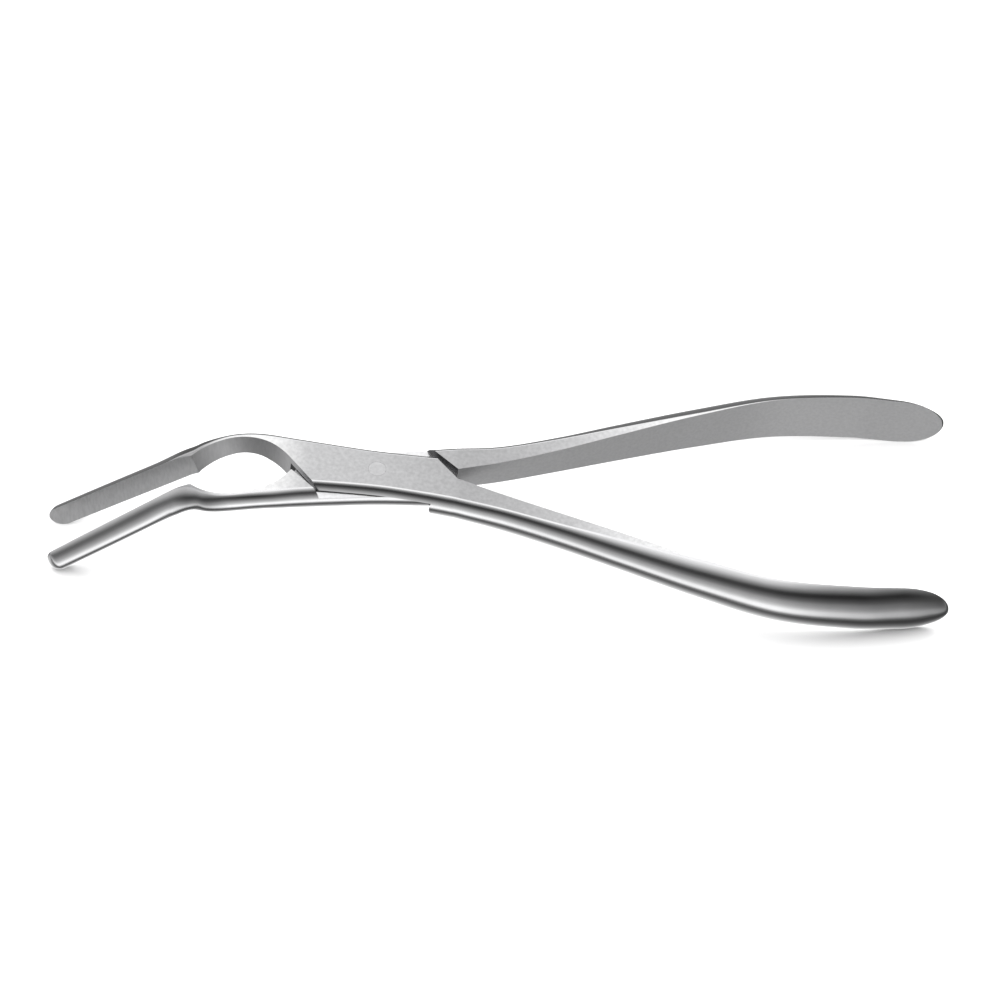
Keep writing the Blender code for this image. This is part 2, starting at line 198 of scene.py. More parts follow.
def middle_height(reach):
    """Height of the bar's middle line there."""
    width = reach / SLOPE_STEPS
    drop = sum(tan(bend_at((k + 0.5) * width)) * width for k in range(SLOPE_STEPS))
    return -LOCK_THICKNESS / 2 - drop


print("the heel lies", round(-middle_height(HEEL_REACH) / MM, 2), "mm below the lock's top face")

# %% [markdown]
# A station is one place on the bar, with all the sizes that its cross-section
# needs. The sizes of both sides are kept apart, because the outer side is
# arched everywhere and the inner side only where it isn't milled. Polishing
# takes a little off the backs, more and more from the lock outwards.

# %% One station
EDGE_ROUND = 0.22 * MM                # polished off each long edge
EDGE_SHARE = 1 / 3                    # of a narrow flat that its rounding may take
POLISH = 0.05 * MM                    # polished off the backs, away from the lock


def station(x, z, slope, half, plus, minus, round_off=1.0):
    """One section: plus and minus are the flat's edge and the back's depth on each side."""
    flat = plus[0] + minus[0]
    polish = POLISH * round_off * min(1.0, max(0.0, abs(x) / LOCK_FRONT - 1))
    return {"middle": (x, 0.0, z), "up": (-sin(slope), 0.0, cos(slope)),
            "plus": (plus[0], plus[1] - polish, 0.0), "minus": (minus[0], minus[1] - polish, 0.0),
            "size": (half - polish, min(EDGE_ROUND, flat * EDGE_SHARE) * round_off, 0.0)}


def rounded(past):
    """How much of the section is left, at a share of the way through a rounded end."""
    return sqrt(1 - past**2)


print("edges rounded by", round(EDGE_ROUND / MM, 2), "mm")

# %% [markdown]
# Each arm is a list of stations, from the blade's tip to the handle's end. At
# both ends the section shrinks like half an ellipse, down to nothing, which
# closes the bar with no cap.

# %% Stations of the blade
TIP_TURN = 6                          # degrees between stations round the tip
BLADE_STEPS = 40


def blade_stations():
    start = HEEL_REACH + HEEL_LENGTH
    tip_start = BLADE_LENGTH - POLISH - TIP_WIDTH / 2
    places = [tip_start + TIP_WIDTH / 2 * sin(radians(a)) for a in range(90, 0, -TIP_TURN)]
    places += [tip_start * (1 - k / BLADE_STEPS) for k in range(BLADE_STEPS + 1)]
    made = []
    for along in places:
        share = along / BLADE_LENGTH
        round_off = rounded(min(1.0, max(0.0, along - tip_start) / (TIP_WIDTH / 2)))
        half = (BLADE_WIDTH + (TIP_WIDTH - BLADE_WIDTH) * share) / 2
        thick = BLADE_THICKNESS + (TIP_THICKNESS - BLADE_THICKNESS) * share**2
        thick += HEEL_SWELL * max(0.0, 1 - along / SWELL_LENGTH)**3
        x = -(start + along * cos(BLADE_SET))
        z = middle_height(start) - along * sin(BLADE_SET)
        made.append(station(x, z, BLADE_SET, half * round_off, (BLADE_FACE, thick * round_off),
                            (BLADE_FACE, half * round_off), round_off))
    return made


stations = blade_stations()
print(len(stations), "stations along the blade")

# %% [markdown]
# Under the arch the bar is still full: the arch itself is milled out later, as
# on the real forceps. So its inner side only has to reach past the cut. In the
# lock both sides are arched.

# %% Stations of the arch and the lock
HEEL_STEPS = 16
ARCH_STEPS = 48
LOCK_STEPS = 40


def arch_stations():
    made = []
    heel_end = HEEL_REACH + HEEL_LENGTH
    blade = (BLADE_THICKNESS + HEEL_SWELL, BLADE_WIDTH / 2)
    table = JAW_BACK + [(heel_end, BLADE_FACE, *blade),
                        (heel_end + SWELL_LENGTH / 2, BLADE_FACE, BLADE_THICKNESS, BLADE_WIDTH / 2)]
    reaches = [heel_end - k * HEEL_LENGTH / HEEL_STEPS for k in range(1, HEEL_STEPS)]
    reaches += [HEEL_REACH - k * (HEEL_REACH - LOCK_FRONT) / ARCH_STEPS
                for k in range(ARCH_STEPS + 1)]
    for reach in reaches:
        edge, depth, half = (smooth(table, reach, column) for column in (1, 2, 3))
        inner = (BLADE_FACE, LOCK_THICKNESS)
        if reach < SHOULDER_REACH:
            inner = (smooth(LOCK_NEAR_SIDE, -reach, 1), smooth(LOCK_NEAR_SIDE, -reach, 2))
        made.append(station(-reach, middle_height(reach), bend_at(reach), half, (edge, depth),
                            inner))
    return made


def lock_stations():
    made = []
    for k in range(1, LOCK_STEPS):
        x = -LOCK_FRONT + k * (HANDLE_ROOT + LOCK_FRONT) / LOCK_STEPS
        made.append(station(x, -LOCK_THICKNESS / 2, 0.0, smooth(JAW_BACK, -x, 3),
                            (smooth(JAW_BACK, -x, 1), smooth(JAW_BACK, -x, 2)),
                            (smooth(LOCK_NEAR_SIDE, x, 1), smooth(LOCK_NEAR_SIDE, x, 2))))
    return made


stations += arch_stations() + lock_stations()
print(len(stations), "stations up to the handle")

# %% [markdown]
# A handle crosses to the other side of the centre line, so one side's edge lies
# at a negative distance. At the rounded end the inner face bulges a little and
# runs out before the tip, as on a ground and polished end.

# %% Stations of the handle
HANDLE_STEPS = 110
END_TURN = 5                          # degrees between stations round the end


def handle_x(share):
    """How far behind the joint a share of the handle lies."""
    return HANDLE_ROOT + share * (HANDLE_REACH - HANDLE_ROOT)


def handle_face(share):
    """How far the inner face lies off the centre line, from half the root's gap on."""
    return smooth(HANDLE, share, 1) + HANDLE_ROOT_GAP / 2 - HANDLE[0][1]


def handle_stations():
    length = HANDLE_REACH - HANDLE_ROOT
    end, end_start = 1 - POLISH / length, 1 - HANDLE_END_LENGTH / length
    shares = [k / HANDLE_STEPS * end_start for k in range(HANDLE_STEPS + 1)]
    shares += [end_start + (end - end_start) * sin(radians(a))
               for a in range(END_TURN, 90 + END_TURN, END_TURN)]
    made = []
    for share in shares:
        round_off = rounded(min(1.0, max(0.0, share - end_start) / (end - end_start)))
        flat, depth, height, middle = (smooth(HANDLE, share, column) for column in (2, 3, 4, 5))
        face = handle_face(share)
        run_out = END_RUN_OUT * (RUN_OUT_SHARE - round_off)
        made.append(station(handle_x(share), -middle, 0.0, height / 2 * round_off,
                            (-face - run_out, END_FULLNESS * round_off),
                            (face + flat + max(0.0, run_out), depth * round_off), round_off))
    return made


stations += handle_stations()
print(len(stations), "stations along an arm")

# %% [markdown]
# One ring of points is the cross-section that all stations share: two shallow
# arcs between two flats. Where an arc meets a flat, the corner turns in five
# small steps, because polishing always breaks an edge, and that sliver is what
# catches the light as a thin bright line along the real forceps.

# %% The ring of one section
BACK_SPREAD = radians(60.0)           # half the angle that an arched back covers
CORNER_SPREAD = radians(57.0)         # where the rounded corner has become the arc
ARC_STEPS = 22
CORNER_STEPS = 5


def arc_point(a):
    """(bulge share, rise share) of the back at an angle from its middle."""
    return (cos(a) - cos(BACK_SPREAD)) / (1 - cos(BACK_SPREAD)), sin(a) / sin(BACK_SPREAD)


def half_ring():
    """(bulge share, rise share, corner outward, on the back) from bottom to top."""
    bulge, rise = arc_point(CORNER_SPREAD)
    shares = [k / CORNER_STEPS for k in range(CORNER_STEPS + 1)]
    corners = [(bulge * t**2, 1 - (1 - rise) * t**2, -(1 - t)**2, float(t > 0)) for t in shares]
    low = [(b, -r, out, on) for b, r, out, on in corners]
    angles = [(2 * k / ARC_STEPS - 1) * CORNER_SPREAD for k in range(1, ARC_STEPS)]
    return low + [(*arc_point(a), 0.0, 1.0) for a in angles] + list(reversed(corners))


ring = [(1.0, *p) for p in half_ring()] + [(-1.0, *p) for p in reversed(half_ring())]
print(len(ring), "points round a section")

# %% [markdown]
# Both lists become plain points that carry their values as attributes, because
# Geometry Nodes read attributes by name.

# %% Points with attributes


def point_object(name, places, attributes):
    """A mesh of loose points that carry named vectors."""
    data = bpy.data.meshes.new(name)
    data.from_pydata(places, [], [])
    for key, values in attributes.items():
        layer = data.attributes.new(key, "FLOAT_VECTOR", "POINT")
        for item, value in zip(layer.data, values):
            item.vector = value
    made = bpy.data.objects.new(name, data)
    bpy.context.scene.collection.objects.link(made)
    return made


ring_points = point_object("section_ring", [p[:3] for p in ring],
                           {"corner": [(p[3], p[4], 0.0) for p in ring]})
print(ring_points.name, "holds", len(ring_points.data.vertices), "points")

# %% [markdown]
# Every tree in this lesson, for shapes, finishes and light, is built with one
# small function that adds a node with its settings and links. Arithmetic and
# the three parts of a vector come up so often that their kinds get short names.

# %% Add a node
MATH = "ShaderNodeMath"
SPLIT = "ShaderNodeSeparateXYZ"


def add(tree, kind, inputs=None, **settings):
    """Adds a node with its settings, and links or sets its inputs."""
    node = tree.nodes.new(kind)
    for key, value in settings.items():
        setattr(node, key, value)
    for key, value in (inputs or {}).items():
        if isinstance(value, bpy.types.NodeSocket):
            tree.links.new(value, node.inputs[key])
        else:
            node.inputs[key].default_value = value
    return node


# %% [markdown]
# The bar follows a rule, so Geometry Nodes draw it. They get the stations, the
# ring, the side of the arm and its two finishes. Their grid has a row for each
# station, a column for each point of the ring, and one more column that closes
# the tube, so the number of a grid point tells its row and its column.

# %% The grid of a bar
loft = bpy.data.node_groups.new("bar_through_stations", "GeometryNodeTree")
for name, kind in (("Stations", "Geometry"), ("Section Ring", "Object"), ("Side", "Float"),
                   ("Flat Finish", "Material"), ("Back Finish", "Material")):
    loft.interface.new_socket(name, in_out="INPUT", socket_type="NodeSocket" + kind)
loft.interface.new_socket("Bar", in_out="OUTPUT", socket_type="NodeSocketGeometry")
given = add(loft, "NodeGroupInput").outputs
ring_geometry = add(loft, "GeometryNodeObjectInfo", {"Object": given["Section Ring"]},
                    transform_space="ORIGINAL").outputs["Geometry"]
rows, ring_size = (add(loft, "GeometryNodeAttributeDomainSize", {0: shape}).outputs["Point Count"]
                   for shape in (given["Stations"], ring_geometry))
columns = add(loft, MATH, {0: ring_size, 1: 1.0}, operation="ADD").outputs[0]
grid = add(loft, "GeometryNodeMeshGrid", {"Vertices X": rows, "Vertices Y": columns})
index = add(loft, "GeometryNodeInputIndex").outputs[0]
centred = add(loft, MATH, {0: index, 1: 0.5}, operation="ADD").outputs[0]
rows_passed = add(loft, MATH, {0: centred, 1: columns}, operation="DIVIDE").outputs[0]
row = add(loft, MATH, {0: rows_passed}, operation="FLOOR").outputs[0]
row_start = add(loft, MATH, {0: row, 1: columns}, operation="MULTIPLY").outputs[0]
column = add(loft, MATH, {0: index, 1: row_start}, operation="SUBTRACT").outputs[0]
column = add(loft, MATH, {0: column, 1: ring_size}, operation="MODULO").outputs[0]
print("grid of", len(stations), "rows and", len(ring) + 1, "columns")

# %% [markdown]
# With its row and column, a grid point looks up its station and its ring point.
# The ring's sign tells which side of the bar it is on, and so which of the
# station's two sets of sizes counts.

# %% What a grid point reads


def sampled(tree, geometry, index, name=None):
    """The position, or a named vector, of one point of another geometry."""
    value = add(tree, "GeometryNodeInputPosition").outputs[0]
    if name:
        value = add(tree, "GeometryNodeInputNamedAttribute", {"Name": name},
                    data_type="FLOAT_VECTOR").outputs["Attribute"]
    return add(tree, "GeometryNodeSampleIndex",
               {"Geometry": geometry, "Value": value, "Index": index},
               data_type="FLOAT_VECTOR", domain="POINT").outputs[0]


sign, bulge, rise = add(loft, SPLIT, {0: sampled(loft, ring_geometry, column)}).outputs
out, back, _ = add(loft, SPLIT, {0: sampled(loft, ring_geometry, column, "corner")}).outputs
half, rounding, _ = add(loft, SPLIT, {0: sampled(loft, given["Stations"], row, "size")}).outputs
is_plus = add(loft, MATH, {0: sign, 1: 0.0}, operation="GREATER_THAN").outputs[0]
side_sizes = add(loft, "GeometryNodeSwitch", {
    "Switch": is_plus, "False": sampled(loft, given["Stations"], row, "minus"),
    "True": sampled(loft, given["Stations"], row, "plus")}, input_type="VECTOR").outputs[0]
edge, depth, _ = add(loft, SPLIT, {0: side_sizes}).outputs
print("loft tree with", len(loft.nodes), "nodes so far")

# %% [markdown]
# Then the point moves from its station's middle: up by its share of the half
# height, and sideways by the flat's edge, the bulge and the rounded corner. It
# also remembers whether it lies on an arched back.

# %% Where a grid point goes
arched = add(loft, MATH, {0: depth, 1: bulge}, operation="MULTIPLY").outputs[0]
drawn_in = add(loft, MATH, {0: rounding, 1: out}, operation="MULTIPLY").outputs[0]
across = edge
for operation, value in (("ADD", arched), ("ADD", drawn_in), ("MULTIPLY", sign),
                         ("MULTIPLY", given["Side"])):
    across = add(loft, MATH, {0: across, 1: value}, operation=operation).outputs[0]
height = add(loft, MATH, {0: half, 1: rise}, operation="MULTIPLY").outputs[0]
upright = sampled(loft, given["Stations"], row, "up")
lifted = add(loft, "ShaderNodeVectorMath", {0: upright, "Scale": height},
             operation="SCALE").outputs[0]
sideways = add(loft, "ShaderNodeCombineXYZ", {"Y": across}).outputs[0]
place = add(loft, "ShaderNodeVectorMath", {0: lifted, 1: sideways}, operation="ADD").outputs[0]
middle = sampled(loft, given["Stations"], row)
place = add(loft, "ShaderNodeVectorMath", {0: middle, 1: place}, operation="ADD").outputs[0]
marked = add(loft, "GeometryNodeStoreNamedAttribute",
             {"Geometry": grid.outputs["Mesh"], "Name": "on_back", "Value": back},
             data_type="FLOAT", domain="POINT").outputs[0]
moved = add(loft, "GeometryNodeSetPosition", {"Geometry": marked, "Position": place}).outputs[0]
print("loft tree with", len(loft.nodes), "nodes so far")

# %% [markdown]
# Merging closes the tube along its seam and at both ends. The faces are turned
# outwards for the arm on the plus side, whose rows run the other way round, and
# the arched backs and the flats each get their own finish.

# %% Close the bar and finish it
LOFT_SEAM = 1e-6                      # points nearer than this are one, in metres
BACK_SHARE = 0.25                     # a face with more of its corners on a back is part of it

closed = add(loft, "GeometryNodeMergeByDistance",
             {"Geometry": moved, "Distance": LOFT_SEAM}).outputs[0]
on_plus = add(loft, MATH, {0: given["Side"], 1: 0.0}, operation="GREATER_THAN").outputs[0]
outward = add(loft, "GeometryNodeFlipFaces", {"Mesh": closed, "Selection": on_plus}).outputs[0]
real = add(loft, "GeometryNodeRealizeInstances", {"Geometry": outward}).outputs[0]
on_back = add(loft, "GeometryNodeInputNamedAttribute", {"Name": "on_back"},
              data_type="FLOAT").outputs["Attribute"]
is_back = add(loft, MATH, {0: on_back, 1: BACK_SHARE}, operation="GREATER_THAN").outputs[0]
flats = add(loft, "GeometryNodeSetMaterial",
            {"Geometry": real, "Material": given["Flat Finish"]}).outputs[0]
backs = add(loft, "GeometryNodeSetMaterial",
            {"Geometry": flats, "Selection": is_back, "Material": given["Back Finish"]})
add(loft, "NodeGroupOutput", {"Bar": backs.outputs[0]})
print("loft tree with", len(loft.nodes), "nodes")

# %% [markdown]
# Colours are written the way a colour picker shows them, as sRGB hex. One
# function turns them into the linear values that shaders need.

# %% Colours


def colour(hex_text):
    def linear(c):
        return c / 12.92 if c <= 0.04045 else ((c + 0.055) / 1.055) ** 2.4
    return (*(linear(int(hex_text[i:i + 2], 16) / 255) for i in (0, 2, 4)), 1.0)


print("C0C0C1 is", [round(c, 3) for c in colour("C0C0C1")])

# %% [markdown]
# All surfaces are the same stainless steel, and only its last working differs.
# A tone that wanders between two, with a faint bump, is what grinding and
# polishing leave on it. The grain is in real millimetres, and stretched where
# the tool ran in one direction.

# %% Steel with a grain
GRAIN_DETAIL = 4.0
GRAIN_RANGE = (0.3, 0.7)              # the noise hardly ever leaves it


def grained(name, tones, roughness, grain, stretch=(1.0, 1.0, 1.0), depth=0.0):
    """Steel whose tone wanders between two, with a bump of the same grain."""
    made = bpy.data.materials.new(name)
    made.use_nodes = True
    tree = made.node_tree
    shader = tree.nodes["Principled BSDF"]
    shader.inputs["Metallic"].default_value = 1.0
    shader.inputs["Roughness"].default_value = roughness
    place = add(tree, "ShaderNodeTexCoord").outputs["Object"]
    place = add(tree, "ShaderNodeMapping",
                {"Vector": place, "Scale": [1 / (grain * k) for k in stretch]})
    noise = add(tree, "ShaderNodeTexNoise",
                {"Vector": place.outputs[0], "Scale": 1.0, "Detail": GRAIN_DETAIL})
    ramp = add(tree, "ShaderNodeValToRGB", {"Fac": noise.outputs[0]})
    for stop, at, tone in zip(ramp.color_ramp.elements, GRAIN_RANGE, tones):
        stop.position, stop.color = at, colour(tone)
    tree.links.new(ramp.outputs["Color"], shader.inputs["Base Color"])
    bump = add(tree, "ShaderNodeBump",
               {"Height": noise.outputs[0], "Distance": depth, "Strength": 1.0})
    tree.links.new(bump.outputs[0], shader.inputs["Normal"])
    return made


# ground across the bar on a belt: matt, with fine lines across it that darken
# it evenly; the lines are drawn coarser than the real 0.05 mm, to show
ACROSS = (1.0, 4.0, 4.0)
LINE_DEPTH = 0.0015 * MM
blade_face = grained("cross_ground_blade_face", ("CECECF", "DEDEDF"), 0.44, 0.6 * MM, ACROSS,
                     LINE_DEPTH)
# ground the same way round a small wheel, with the same lines; its darker tone is painted shade in
# the hollow of the arch
arch_face_painted_shade = grained("cross_ground_arch_painted_shade", ("B4B4B5", "BEBEBF"), 0.44, 0.6 * MM, ACROSS, LINE_DEPTH)
print(blade_face.name, arch_face_painted_shade.name)

# %% [markdown]
# The flats of the lock and the shanks came off a finer wheel, which leaves no
# direction. They are satin: light grey, with blurred reflections. The inner
# faces of the handles are a little duller. Inside the joint, the lapped faces
# are smooth, and the shoulder walls keep the cutter's upright lines, with their
# tone painted dark as the shade in the joint's gaps. The backs are polished bright.

# %% Satin and milled steel
MOTTLE_DEPTH = 0.001 * MM
# satin, with a mottle of short scratches, drawn coarser than the real 0.1 mm
satin_flat_painted_light = grained("satin_ground_flat_painted_light", ("E9E9E9", "FFFFFF"), 0.30, 0.9 * MM,
                     depth=MOTTLE_DEPTH)
# the same wheel, then handled for years: an even, soft grey
grip_face = grained("satin_handle_face", ("CCCCCD", "D6D6D7"), 0.44, 0.8 * MM, depth=MOTTLE_DEPTH)
# lapped by the other leaf as the arms swing: smooth, with faint rubbing marks
lap_face = grained("ground_lap_face", ("DADADB", "EAEAEB"), 0.30, 0.8 * MM, depth=MOTTLE_DEPTH)
# left as the cutter made it: dull, its lines drawn coarser than the real 0.1 mm; its dark tone is
# painted shade for the walls deep in the joint's gaps
milled_wall_painted_shade = grained("milled_shoulder_wall_painted_shade", ("68686A", "787879"), 0.50, 0.5 * MM,
                      (4.0, 4.0, 1.0), LINE_DEPTH)
# ground with the flat around it, but of a harder steel that takes a shade more shine
screw_end = grained("flush_ground_screw", ("B6B6B7", "C4C4C5"), 0.30, 0.9 * MM,
                    depth=MOTTLE_DEPTH)
# buffed on a mop: mirror bright, its tone only faintly uneven
polished_back_painted_shade = grained("polished_back_painted_shade", ("D8D8D9", "DCDCDD"), 0.16, 3.0 * MM)
print(len(bpy.data.materials), "materials so far")

# %% [markdown]
# A ramp along the forceps multiplies the grain's tone, and so paints light and shade
# into it. The flats get painted highlights beside the arch and where they run out on
# the handles, and painted shade at the heel. The backs get painted shade in the hollow
# of the heel and towards the handles' ends, which dims their reflections there.

# %% Painted light along the forceps
# millimetres behind the joint, tone with painted light and shade
FLAT_PAINTED_LIGHT = ((-60, "9E9E9F"), (-44, "A6A6A7"), (-39, "EEEEEE"), (-27, "EFEFEF"),
              (-17, "C2C2C3"), (0, "BEBEBF"), (15, "B4B4B5"), (35, "B4B4B5"), (50, "C2C2C3"),
              (60, "D8D8D9"), (75, "F2F2F2"))
BACK_PAINTED_SHADE = ((-95, "FFFFFF"), (-52, "FFFFFF"), (-48, "CECECE"), (-42, "CECECE"),
              (-37, "FFFFFF"), (98, "FFFFFF"), (112, "D0D0D0"), (126, "B4B4B4"), (142, "A0A0A0"))


def fill_ramp(ramp, stops):
    """Gives a ramp its stops, each a position and a colour."""
    made = ramp.color_ramp.elements
    while len(made) < len(stops):
        made.new(0.5)
    for stop, (position, tone) in zip(made, stops):
        stop.position, stop.color = position, tone


def paint_light_along(made, tones):
    """Multiplies the tone of a steel by a ramp along the forceps, which paints light and shade on
    it.
    """
    tree = made.node_tree
    base = tree.nodes["Principled BSDF"].inputs["Base Color"]
    grain = base.links[0].from_socket
    first, last = tones[0][0] * MM, tones[-1][0] * MM
    place = add(tree, "ShaderNodeTexCoord").outputs["Object"]
    along = add(tree, SPLIT, {0: place}).outputs["X"]
    share = add(tree, "ShaderNodeMapRange", {"Value": along, "From Min": PIVOT.x + first,
                                             "From Max": PIVOT.x + last}).outputs[0]
    ramp = add(tree, "ShaderNodeValToRGB", {"Fac": share})
    fill_ramp(ramp, [((at * MM - first) / (last - first), colour(tone)) for at, tone in tones])
    mixed = add(tree, "ShaderNodeMix", {"Factor": 1.0, 6: grain, 7: ramp.outputs["Color"]},
                data_type="RGBA", blend_type="MULTIPLY")
    tree.links.new(mixed.outputs[2], base)


# the flats take painted highlights and painted shade, the backs painted shade
paint_light_along(satin_flat_painted_light, FLAT_PAINTED_LIGHT)
paint_light_along(polished_back_painted_shade, BACK_PAINTED_SHADE)
print("toned along:", satin_flat_painted_light.name, polished_back_painted_shade.name)

# %% [markdown]
# The flat inner faces, the arch and the lap joint are not forged but milled.
# So they are cut here as well: upright cutters, drawn in plan, take the metal
# away, and each cut face takes its finish from its cutter. The arch is cut
# square to its sloping bar, so its cutter leans with the bar.

# %% Make a cutter


def to_object(name, mesh, *finishes):
    """Turns a bmesh into an object with its finishes."""
    bmesh.ops.recalc_face_normals(mesh, faces=mesh.faces)
    data = bpy.data.meshes.new(name)
    mesh.to_mesh(data)
    mesh.free()
    for finish in finishes:
        data.materials.append(finish)
    made = bpy.data.objects.new(name, data)
    bpy.context.scene.collection.objects.link(made)
    return made


def lean(x, z):
    """Where a line square to the bar, through its middle at x, has got to at a height."""
    return x - tan(bend_at(-x)) * (z - middle_height(-x))


def prism(name, outline, low, high, side, finishes, leaning=False):
    """A cutter whose ends, first side and other sides each leave their own finish."""
    mesh = bmesh.new()
    ends = []
    for z in (low, high):
        places = [(lean(x, z) if leaning else x, side * y, z) for x, y in outline]
        ends.append([mesh.verts.new(p) for p in places])
        mesh.faces.new(ends[-1])
    for k in range(len(outline)):
        n = (k + 1) % len(outline)
        wall = mesh.faces.new((ends[0][k], ends[0][n], ends[1][n], ends[1][k]))
        wall.material_index = min(k + 1, 2)
    return to_object(name, mesh, *finishes)


print("the arch's cutter leans up to", round(degrees(ARCH_SET), 1), "degrees")

# %% [markdown]
# In plan, the jaw space is bounded by the blade's face, the end of the arch and
# the front shoulder, and the handle space by the back shoulder and the handle's
# curved face. The arch is an arc, and a shoulder is a straight line at a
# distance from the joint. A leaf's pocket lies between both shoulders.

# %% Outlines of the cutters
REACH_PAST = 30.0 * MM                # how far cutters run past the metal
ARCH_REACH = 34.0 * MM
ARCH_RADIUS = 15.5 * MM
ARCH_DEPTH = 5.05 * MM                # past the blade's face
ARCH_CUT_PAST = 2.0 * MM              # how far the arch's cutter starts short of that face
ARCH_FACETS = 96
FACE_FACETS = 150


def front_line():
    """The front shoulder, which runs straight on from the arch: its normal and distance."""
    normal = Vector((-sin(FRONT_SHOULDER_SLANT), -cos(FRONT_SHOULDER_SLANT)))
    centre = Vector((-ARCH_REACH, BLADE_FACE + ARCH_DEPTH - ARCH_RADIUS))
    return normal, normal.dot(centre) - ARCH_RADIUS


def back_line():
    return Vector((sin(BACK_SHOULDER_SLANT), cos(BACK_SHOULDER_SLANT))), BACK_SHOULDER_REACH


def on_line(line, y, offset=0.0):
    """The point of a line at a place across the forceps."""
    normal, distance = line
    return ((distance + offset - normal.y * y) / normal.x, y)


def arch_angle(y, end):
    """The angle round the arch at y across, towards its blade end (-1) or lock end (+1)."""
    rise = asin((y - BLADE_FACE - ARCH_DEPTH + ARCH_RADIUS) / ARCH_RADIUS)
    return rise if end > 0 else pi - rise


def on_arch(angle):
    return (ARCH_RADIUS * cos(angle) - ARCH_REACH,
            BLADE_FACE + ARCH_DEPTH + ARCH_RADIUS * (sin(angle) - 1))


def jaw_space():
    left = -(HEEL_REACH + BLADE_LENGTH + REACH_PAST)
    return [(left, BLADE_FACE), on_arch(arch_angle(BLADE_FACE, 1)),
            on_arch(pi / 2 - FRONT_SHOULDER_SLANT), on_line(front_line(), -REACH_PAST),
            (left, -REACH_PAST)]


def arch_space():
    first, last = arch_angle(BLADE_FACE - ARCH_CUT_PAST, -1), arch_angle(BLADE_FACE, 1)
    return [on_arch(first + (last - first) * k / ARCH_FACETS) for k in range(ARCH_FACETS + 1)]


def handle_space():
    shares = [k / FACE_FACETS for k in range(FACE_FACETS + 1)]
    face = [(handle_x(share), -handle_face(share)) for share in shares]
    right = HANDLE_REACH + REACH_PAST
    return [on_line(back_line(), REACH_PAST)] + face + [(right, face[-1][1]), (right, REACH_PAST)]


def leaf_pocket(back_clearance):
    front, back = front_line(), back_line()
    return [on_line(front, REACH_PAST, SHOULDER_CLEARANCE),
            on_line(front, -REACH_PAST, SHOULDER_CLEARANCE),
            on_line(back, -REACH_PAST, back_clearance),
            on_line(back, REACH_PAST, back_clearance)]


print("front shoulder", round(-front_line()[1] / MM, 2), "mm from the joint's axis")

# %% [markdown]
# The screw is countersunk from below and ground flush on top, where only a
# hairline circle shows. Its bore is the same shape, larger by the clearance.
# Both are round, so a profile is spun round the joint's axis.

# %% Profiles of screw and bore
SCREW_RADIUS = 2.2 * MM
SCREW_HEAD_RADIUS = 3.5 * MM
SCREW_CLEARANCE = 0.04 * MM
CONE_START = -LOCK_THICKNESS + SCREW_HEAD_RADIUS - SCREW_RADIUS
ROUND_FACETS = 96
SPIN_SEAM = 1e-5                      # points nearer than this are one, in metres


def bore_profile():
    shank, head = SCREW_RADIUS + SCREW_CLEARANCE, SCREW_HEAD_RADIUS + SCREW_CLEARANCE
    below = -LOCK_THICKNESS - REACH_PAST
    return [(0, REACH_PAST), (shank, REACH_PAST), (shank, CONE_START), (head, -LOCK_THICKNESS),
            (head, below), (0, below)]


def screw_profile():
    return [(0, 0), (SCREW_RADIUS, 0), (SCREW_RADIUS, CONE_START),
            (SCREW_HEAD_RADIUS, -LOCK_THICKNESS), (0, -LOCK_THICKNESS)]


def turned(name, profile, finish):
    """A profile of (radius, height) points, spun into a closed solid."""
    mesh = bmesh.new()
    line = [mesh.verts.new((r, 0, z)) for r, z in profile]
    edges = [mesh.edges.new(pair) for pair in zip(line, line[1:])]
    bmesh.ops.spin(mesh, geom=line + edges, cent=(0, 0, 0), axis=(0, 0, 1), angle=2 * pi,
                   steps=ROUND_FACETS, use_merge=True)
    bmesh.ops.remove_doubles(mesh, verts=mesh.verts, dist=SPIN_SEAM)
    return to_object(name, mesh, finish)


print("the screw's cone starts", round(-CONE_START / MM, 2), "mm down")

# %% [markdown]
# A cutter works through an exact Boolean, which hands its finish to the face
# that it cuts. The evaluated result is frozen as one plain mesh, in the place
# where the forceps lie, and edges sharper than a crease stay sharp.

# %% Mill and freeze
CREASE = radians(24.0)


def modifier_input(modifier, name, value):
    """Sets an input of a Geometry Nodes modifier through its socket's identifier."""
    item = modifier.node_group.interface.items_tree[name]
    modifier[item.identifier] = value


def mill(body, cutter):
    """Takes the cutter's shape away from the body."""
    milled = body.modifiers.new(cutter.name, "BOOLEAN")
    milled.operation = "DIFFERENCE"
    milled.solver = "EXACT"
    milled.material_mode = "TRANSFER"
    milled.object = cutter


def frozen(name, source, turn):
    """The evaluated shape of an object as a plain mesh, in place for the rest pose."""
    graph = bpy.context.evaluated_depsgraph_get()
    data = bpy.data.meshes.new_from_object(source.evaluated_get(graph))
    if data.materials[0] is None:     # the grid's own empty slot
        data.materials.pop(index=0)
    data.transform(JOINT_FRAME @ Matrix.Rotation(turn, 4, "Z"))
    data.name = name
    made = bpy.data.objects.new(name, data)
    bpy.context.scene.collection.objects.link(made)
    data.shade_smooth()
    data.set_sharp_from_angle(angle=CREASE)
    return made


print("edges over", round(degrees(CREASE)), "degrees stay sharp")

# %% [markdown]
# Now each arm is put together: loft, mill and freeze. The arms are mirror
# images, but for the leaf that each one keeps at the lock.

# %% Make the arms
TOP_LEAF = 2.2 * MM                   # from the top face down to the lap plane
LAP_CLEARANCE = 0.30 * MM             # between the two leaves
SHOULDER_CLEARANCE = 0.35 * MM        # between leaf and shoulder, closed
LOWER_CLEARANCE = 1.10 * MM           # at the hidden leaf's back edge, closed
ARCH_CUT_LOW = 18.0 * MM              # how far the arch's cutter runs below the top face
ARCH_CUT_HIGH = 5.0 * MM              # and above it


